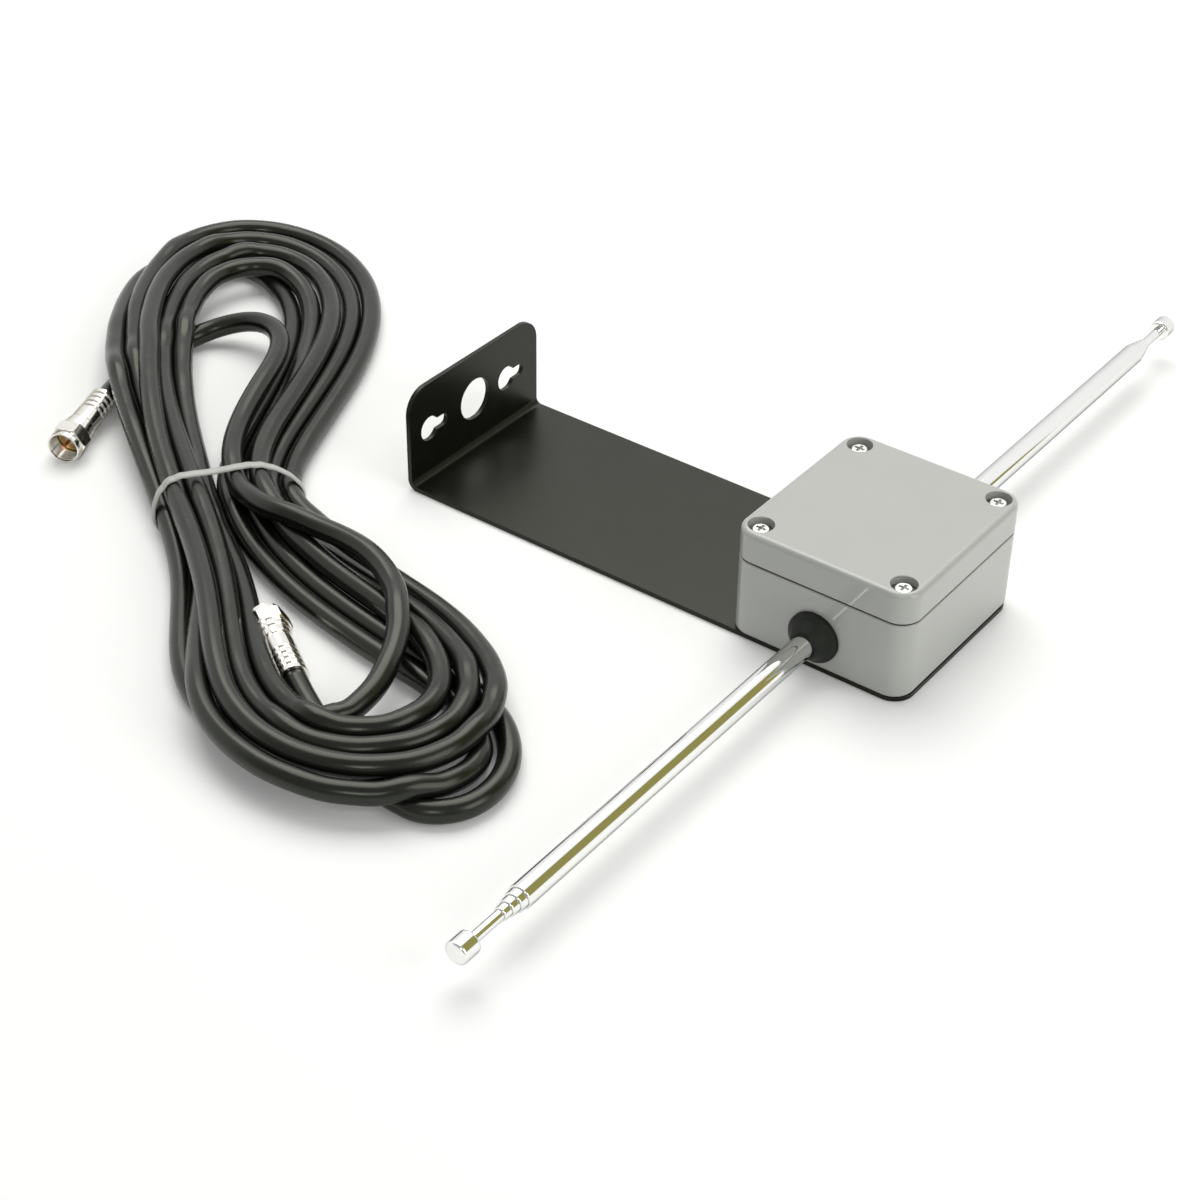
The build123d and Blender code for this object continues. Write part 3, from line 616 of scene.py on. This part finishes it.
def spread(tree, value, low, high):
    """Maps the middle of a noise value to low ... high."""
    ramp = tree.nodes.new("ShaderNodeMapRange")
    ramp.inputs["From Min"].default_value = NOISE_LOW
    ramp.inputs["From Max"].default_value = NOISE_HIGH
    ramp.inputs["To Min"].default_value = low
    ramp.inputs["To Max"].default_value = high
    tree.links.new(value, ramp.inputs["Value"])
    return ramp.outputs["Result"]


def shade(tree, value, dark, light):
    """Mixes two colours by a noise value."""
    mix = tree.nodes.new("ShaderNodeMix")
    mix.data_type = "RGBA"
    mix.inputs["A"].default_value = (*dark, 1.0)
    mix.inputs["B"].default_value = (*light, 1.0)
    tree.links.new(spread(tree, value, 0.0, 1.0), mix.inputs["Factor"])
    return mix.outputs["Result"]


def relief(tree, shader, value, depth, edge):
    """Fine relief, and softened edges where edge is their radius."""
    bump = tree.nodes.new("ShaderNodeBump")
    bump.inputs["Distance"].default_value = depth
    bump.inputs["Strength"].default_value = 1.0
    tree.links.new(value, bump.inputs["Height"])
    if edge > 0.0:
        bevel = tree.nodes.new("ShaderNodeBevel")
        bevel.samples = BEVEL_SAMPLES
        bevel.inputs["Radius"].default_value = edge
        tree.links.new(bevel.outputs["Normal"], bump.inputs["Normal"])
    tree.links.new(bump.outputs["Normal"], shader.inputs["Normal"])


def finish(name, dark, light, rough, grain, depth, stretch=(1.0, 1.0, 1.0), edge=0.0, **sockets):
    """A finish whose colour and roughness drift slowly and whose relief is fine."""
    material, tree, shader = node_tree(name)
    drift = noise(tree, grain / DRIFT, stretch)
    fine = noise(tree, grain, stretch)
    tree.links.new(shade(tree, drift, dark, light), shader.inputs["Base Color"])
    tree.links.new(spread(tree, drift, *rough), shader.inputs["Roughness"])
    relief(tree, shader, fine, depth, edge)
    for socket, value in sockets.items():
        shader.inputs[socket.replace("_", " ")].default_value = value
    return material


finishes = {
    "black_steel": finish(
        "black_powder_coat",
        dark=(0.003, 0.003, 0.002),
        light=(0.005, 0.005, 0.004),
        rough=(0.31, 0.36),
        grain=1400.0,
        depth=0.000006,
        edge=0.0003,
        Specular_IOR_Level=0.28,
        # Painted reflection tint: the olive-yellow specular tint stands in for the colour of the light round
        # the set, not the coat's own
        Specular_Tint=(0.97, 1.0, 0.80, 1.0),
    ),
    "grey_paint": finish(
        "grey_paint",
        dark=(0.378, 0.384, 0.364),
        light=(0.396, 0.402, 0.381),
        rough=(0.34, 0.42),
        grain=900.0,
        depth=0.000006,
        Coat_Weight=0.6,
        Coat_Roughness=0.05,
    ),
    "seal_rubber": finish(
        "seal_rubber",
        dark=(0.020, 0.020, 0.020),
        light=(0.030, 0.030, 0.030),
        rough=(0.60, 0.75),
        grain=1600.0,
        depth=0.00002,
    ),
    "zinc_steel": finish(
        "zinc_steel",
        dark=(0.62, 0.62, 0.60),
        light=(0.72, 0.72, 0.70),
        rough=(0.18, 0.32),
        grain=2200.0,
        depth=0.000006,
        edge=0.00012,
        Metallic=1.0,
    ),
    "rod_chrome": finish(
        "rod_chrome",
        dark=(0.88, 0.88, 0.86),
        light=(0.92, 0.92, 0.90),
        rough=(0.03, 0.07),
        grain=3000.0,
        depth=0.0000010,
        stretch=ROD_GRAIN,
        Metallic=1.0,
        # Painted dark edges: the dark edge tint darkens the grazing reflections and draws dark outlines
        # along the rods
        Specular_Tint=(0.42, 0.43, 0.44, 1.0),
    ),
    "grommet_rubber": finish(
        "grommet_rubber",
        dark=(0.005, 0.006, 0.005),
        light=(0.008, 0.009, 0.007),
        rough=(0.45, 0.58),
        grain=1800.0,
        depth=0.00002,
        Specular_IOR_Level=0.28,
        # Painted reflection tint: the olive specular tint stands in for the colour of the light round the
        # set
        Specular_Tint=(0.95, 1.0, 0.90, 1.0),
    ),
    "insulator_plastic": finish(
        "insulator_plastic",
        dark=(0.60, 0.58, 0.52),
        light=(0.66, 0.64, 0.58),
        rough=(0.40, 0.55),
        grain=900.0,
        depth=0.00001,
    ),
    "circuit_board": finish(
        "circuit_board",
        dark=(0.030, 0.100, 0.045),
        light=(0.040, 0.130, 0.060),
        rough=(0.30, 0.45),
        grain=2600.0,
        depth=0.00001,
    ),
    "ferrite": finish(
        "ferrite",
        dark=(0.035, 0.034, 0.033),
        light=(0.060, 0.058, 0.055),
        rough=(0.50, 0.70),
        grain=2400.0,
        depth=0.00002,
    ),
    "copper_wire": finish(
        "copper_wire",
        dark=(0.72, 0.30, 0.16),
        light=(0.82, 0.38, 0.21),
        rough=(0.20, 0.32),
        grain=2000.0,
        depth=0.000005,
        Metallic=1.0,
    ),
    "brass": finish(
        "brass",
        dark=(0.72, 0.52, 0.22),
        light=(0.80, 0.60, 0.28),
        rough=(0.20, 0.34),
        grain=1800.0,
        depth=0.000006,
        Metallic=1.0,
    ),
    "nickel": finish(
        "nickel",
        dark=(0.88, 0.86, 0.81),
        light=(0.93, 0.91, 0.87),
        rough=(0.07, 0.13),
        grain=1500.0,
        depth=0.000004,
        edge=0.00015,
        Metallic=1.0,
        # Painted dark edges: the dark, warm edge tint darkens the plugs' grazing reflections towards brown
        Specular_Tint=(0.35, 0.32, 0.25, 1.0),
    ),
    "white_plastic": finish(
        "white_plastic",
        dark=(0.74, 0.74, 0.71),
        light=(0.80, 0.80, 0.77),
        rough=(0.30, 0.45),
        grain=1200.0,
        depth=0.000008,
    ),
    "cable_jacket": finish(
        "cable_jacket",
        dark=(0.004, 0.0045, 0.0035),
        light=(0.006, 0.0065, 0.005),
        rough=(0.22, 0.29),
        grain=1500.0,
        depth=0.000010,
        Specular_IOR_Level=0.44,
        # Painted reflection tint: the olive specular tint stands in for the colour of the light round the
        # set
        Specular_Tint=(0.95, 1.0, 0.86, 1.0),
    ),
    "tie_plastic": finish(
        "tie_plastic",
        dark=(0.38, 0.39, 0.36),
        light=(0.46, 0.47, 0.44),
        rough=(0.38, 0.52),
        grain=1500.0,
        depth=0.00001,
    ),
}


def dress(piece, slot_name):
    """Gives a piece the finish of its slot."""
    piece.data.materials.clear()
    piece.data.materials.append(finishes[slot_name])


for part in frame["record"]["subparts"]:
    dress(nodes[part["node"]], part["material_slot"])
dress(cord, "cable_jacket")
dress(tie, "tie_plastic")
# Black rubber for the seam's painted shade
dress(seam_shade_bead, "seal_rubber")
for thread in threads:
    dress(thread, "nickel")


# Studio set

FLOOR_HALF = 4.0
FLOOR_DROP = 0.0002
FLOOR_COLOUR = 0.90
FLOOR_GLOW_NEAR = 0.07
FLOOR_FADE_START = 0.32
FLOOR_FADE_END = 0.85
AMBIENT = 0.36
AMBIENT_COLOUR = (0.955, 1.0, 0.975, 1.0)

# Softboxes: name, place, the point they face, size and power
SOFTBOXES = [
    ("key", (-0.45, 0.45, 1.30), (-0.05, -0.03, 0.0), 1.3, 17.0),
    ("side", (1.40, 0.10, 0.70), (0.05, 0.0, 0.02), 1.0, 9.0),
    ("front", (0.61, -1.21, 0.85), (0.06, -0.10, 0.0), 0.35, 2.3),
]
LAMP_COLOUR = (1.0, 0.985, 0.955)

# The front of the room, seen only in reflections, is dimmer than the white behind the set
ROOM_FRONT = (0.52, -0.71, 0.47)
ROOM_FRONT_LEVEL = 0.45
ROOM_DIM_START = 0.05
ROOM_DIM_END = 0.50

# A dark flag beside the set, seen only in reflections: it draws the olive stripe along the near rod
FLAG_X = 0.5
FLAG_OUTLINE = [
    (0.0, 0.085),
    (0.40, 0.085),
    (0.65, 0.04),
    (0.65, 0.30),
    (0.80, 0.68),
    (1.45, 1.42),
    (0.55, 1.42),
]
FLAG_COLOUR = (0.30, 0.28, 0.09, 1.0)


def seen_rays(tree):
    """1 for rays from the camera, a mirror or glass, else 0."""
    path = tree.nodes.new("ShaderNodeLightPath")
    first = tree.nodes.new("ShaderNodeMath")
    first.operation = "MAXIMUM"
    both = tree.nodes.new("ShaderNodeMath")
    both.operation = "MAXIMUM"
    tree.links.new(path.outputs["Is Camera Ray"], first.inputs[0])
    tree.links.new(path.outputs["Is Glossy Ray"], first.inputs[1])
    tree.links.new(first.outputs[0], both.inputs[0])
    tree.links.new(path.outputs["Is Transmission Ray"], both.inputs[1])
    return both.outputs[0]


def times(tree, first, second):
    """The product of two values."""
    product = tree.nodes.new("ShaderNodeMath")
    product.operation = "MULTIPLY"
    tree.links.new(first, product.inputs[0])
    tree.links.new(second, product.inputs[1])
    return product.outputs[0]


def fade_out(tree, distance, near, far):
    """A value that goes from near to far with the distance from the middle of the set."""
    ramp = tree.nodes.new("ShaderNodeMapRange")
    ramp.interpolation_type = "SMOOTHSTEP"
    ramp.inputs["From Min"].default_value = FLOOR_FADE_START
    ramp.inputs["From Max"].default_value = FLOOR_FADE_END
    ramp.inputs["To Min"].default_value = near
    ramp.inputs["To Max"].default_value = far
    tree.links.new(distance, ramp.inputs["Value"])
    return ramp.outputs["Result"]


def floor_material():
    """A white floor that keeps shadows near the part and runs out into pure white."""
    material = bpy.data.materials.new("white_floor")
    material.use_nodes = True
    tree = material.node_tree
    tree.nodes.clear()
    place = tree.nodes.new("ShaderNodeTexCoord")
    distance = tree.nodes.new("ShaderNodeVectorMath")
    distance.operation = "LENGTH"
    tree.links.new(place.outputs["Object"], distance.inputs[0])
    seen = seen_rays(tree)
    glow = times(tree, seen, fade_out(tree, distance.outputs["Value"], FLOOR_GLOW_NEAR, 1.0))
    fade = times(tree, seen, fade_out(tree, distance.outputs["Value"], 0.0, 1.0))
    colour = tree.nodes.new("ShaderNodeMix")
    colour.data_type = "RGBA"
    colour.inputs["A"].default_value = (FLOOR_COLOUR, FLOOR_COLOUR, FLOOR_COLOUR, 1.0)
    colour.inputs["B"].default_value = (0.0, 0.0, 0.0, 1.0)
    tree.links.new(fade, colour.inputs["Factor"])
    matt = tree.nodes.new("ShaderNodeBsdfDiffuse")
    light = tree.nodes.new("ShaderNodeEmission")
    total = tree.nodes.new("ShaderNodeAddShader")
    output = tree.nodes.new("ShaderNodeOutputMaterial")
    tree.links.new(colour.outputs["Result"], matt.inputs["Color"])
    tree.links.new(glow, light.inputs["Strength"])
    tree.links.new(matt.outputs[0], total.inputs[0])
    tree.links.new(light.outputs[0], total.inputs[1])
    tree.links.new(total.outputs[0], output.inputs["Surface"])
    return material


def add_floor():
    """The plain floor that the part lies on."""
    mesh = bpy.data.meshes.new("floor")
    half = FLOOR_HALF
    corners = [(-half, -half, 0.0), (half, -half, 0.0), (half, half, 0.0), (-half, half, 0.0)]
    mesh.from_pydata(corners, [], [(0, 1, 2, 3)])
    mesh.materials.append(floor_material())
    floor = bpy.data.objects.new("floor", mesh)
    floor.location.z = -FLOOR_DROP
    scene.collection.objects.link(floor)


def add_flag():
    """The dark flag, a flat card parallel to the rods."""
    mesh = bpy.data.meshes.new("flag")
    mesh.from_pydata([(FLAG_X, y, z) for y, z in FLAG_OUTLINE], [], [list(range(len(FLAG_OUTLINE)))])
    material = bpy.data.materials.new("olive_card")
    material.use_nodes = True
    tree = material.node_tree
    tree.nodes.clear()
    card = tree.nodes.new("ShaderNodeEmission")
    card.inputs["Color"].default_value = FLAG_COLOUR
    output = tree.nodes.new("ShaderNodeOutputMaterial")
    tree.links.new(card.outputs[0], output.inputs["Surface"])
    mesh.materials.append(material)
    flag = bpy.data.objects.new("flag", mesh)
    flag.visible_camera = False
    flag.visible_diffuse = False
    flag.visible_shadow = False
    scene.collection.objects.link(flag)


def add_softbox(name, place, target, size, power):
    """A square area lamp that faces its target."""
    data = bpy.data.lights.new(name, "AREA")
    data.shape = "SQUARE"
    data.size = size
    data.energy = power
    data.color = LAMP_COLOUR
    lamp = bpy.data.objects.new(name, data)
    lamp.location = place
    lamp.rotation_euler = (Vector(target) - Vector(place)).to_track_quat("-Z", "Y").to_euler()
    scene.collection.objects.link(lamp)


def room_level(tree):
    """How bright the room looks by direction: white to the camera, dimmer in mirrors to the front."""
    place = tree.nodes.new("ShaderNodeTexCoord")
    facing = tree.nodes.new("ShaderNodeVectorMath")
    facing.operation = "DOT_PRODUCT"
    facing.inputs[1].default_value = ROOM_FRONT
    tree.links.new(place.outputs["Generated"], facing.inputs[0])
    level = tree.nodes.new("ShaderNodeMapRange")
    level.interpolation_type = "SMOOTHSTEP"
    level.inputs["From Min"].default_value = ROOM_DIM_START
    level.inputs["From Max"].default_value = ROOM_DIM_END
    level.inputs["To Min"].default_value = 1.0
    level.inputs["To Max"].default_value = ROOM_FRONT_LEVEL
    tree.links.new(facing.outputs["Value"], level.inputs["Value"])
    path = tree.nodes.new("ShaderNodeLightPath")
    choice = tree.nodes.new("ShaderNodeMix")
    choice.inputs["A"].default_value = 1.0
    tree.links.new(path.outputs["Is Glossy Ray"], choice.inputs["Factor"])
    tree.links.new(level.outputs["Result"], choice.inputs["B"])
    return choice.outputs["Result"]


def set_world():
    """White seen from the camera and in mirrors, and a soft even light on everything."""
    world = bpy.data.worlds.new("studio")
    world.use_nodes = True
    scene.world = world
    tree = world.node_tree
    tree.nodes.clear()
    ambient = tree.nodes.new("ShaderNodeBackground")
    ambient.inputs["Color"].default_value = AMBIENT_COLOUR
    ambient.inputs["Strength"].default_value = AMBIENT
    white = tree.nodes.new("ShaderNodeBackground")
    white.inputs["Color"].default_value = (1.0, 1.0, 1.0, 1.0)
    tree.links.new(room_level(tree), white.inputs["Strength"])
    choice = tree.nodes.new("ShaderNodeMixShader")
    output = tree.nodes.new("ShaderNodeOutputWorld")
    tree.links.new(seen_rays(tree), choice.inputs["Fac"])
    tree.links.new(ambient.outputs[0], choice.inputs[1])
    tree.links.new(white.outputs[0], choice.inputs[2])
    tree.links.new(choice.outputs[0], output.inputs["Surface"])


add_floor()
add_flag()
for name, place, target, size, power in SOFTBOXES:
    add_softbox(name, place, target, size, power)
set_world()
scene.view_settings.view_transform = "Standard"

bpy.context.view_layer.update()
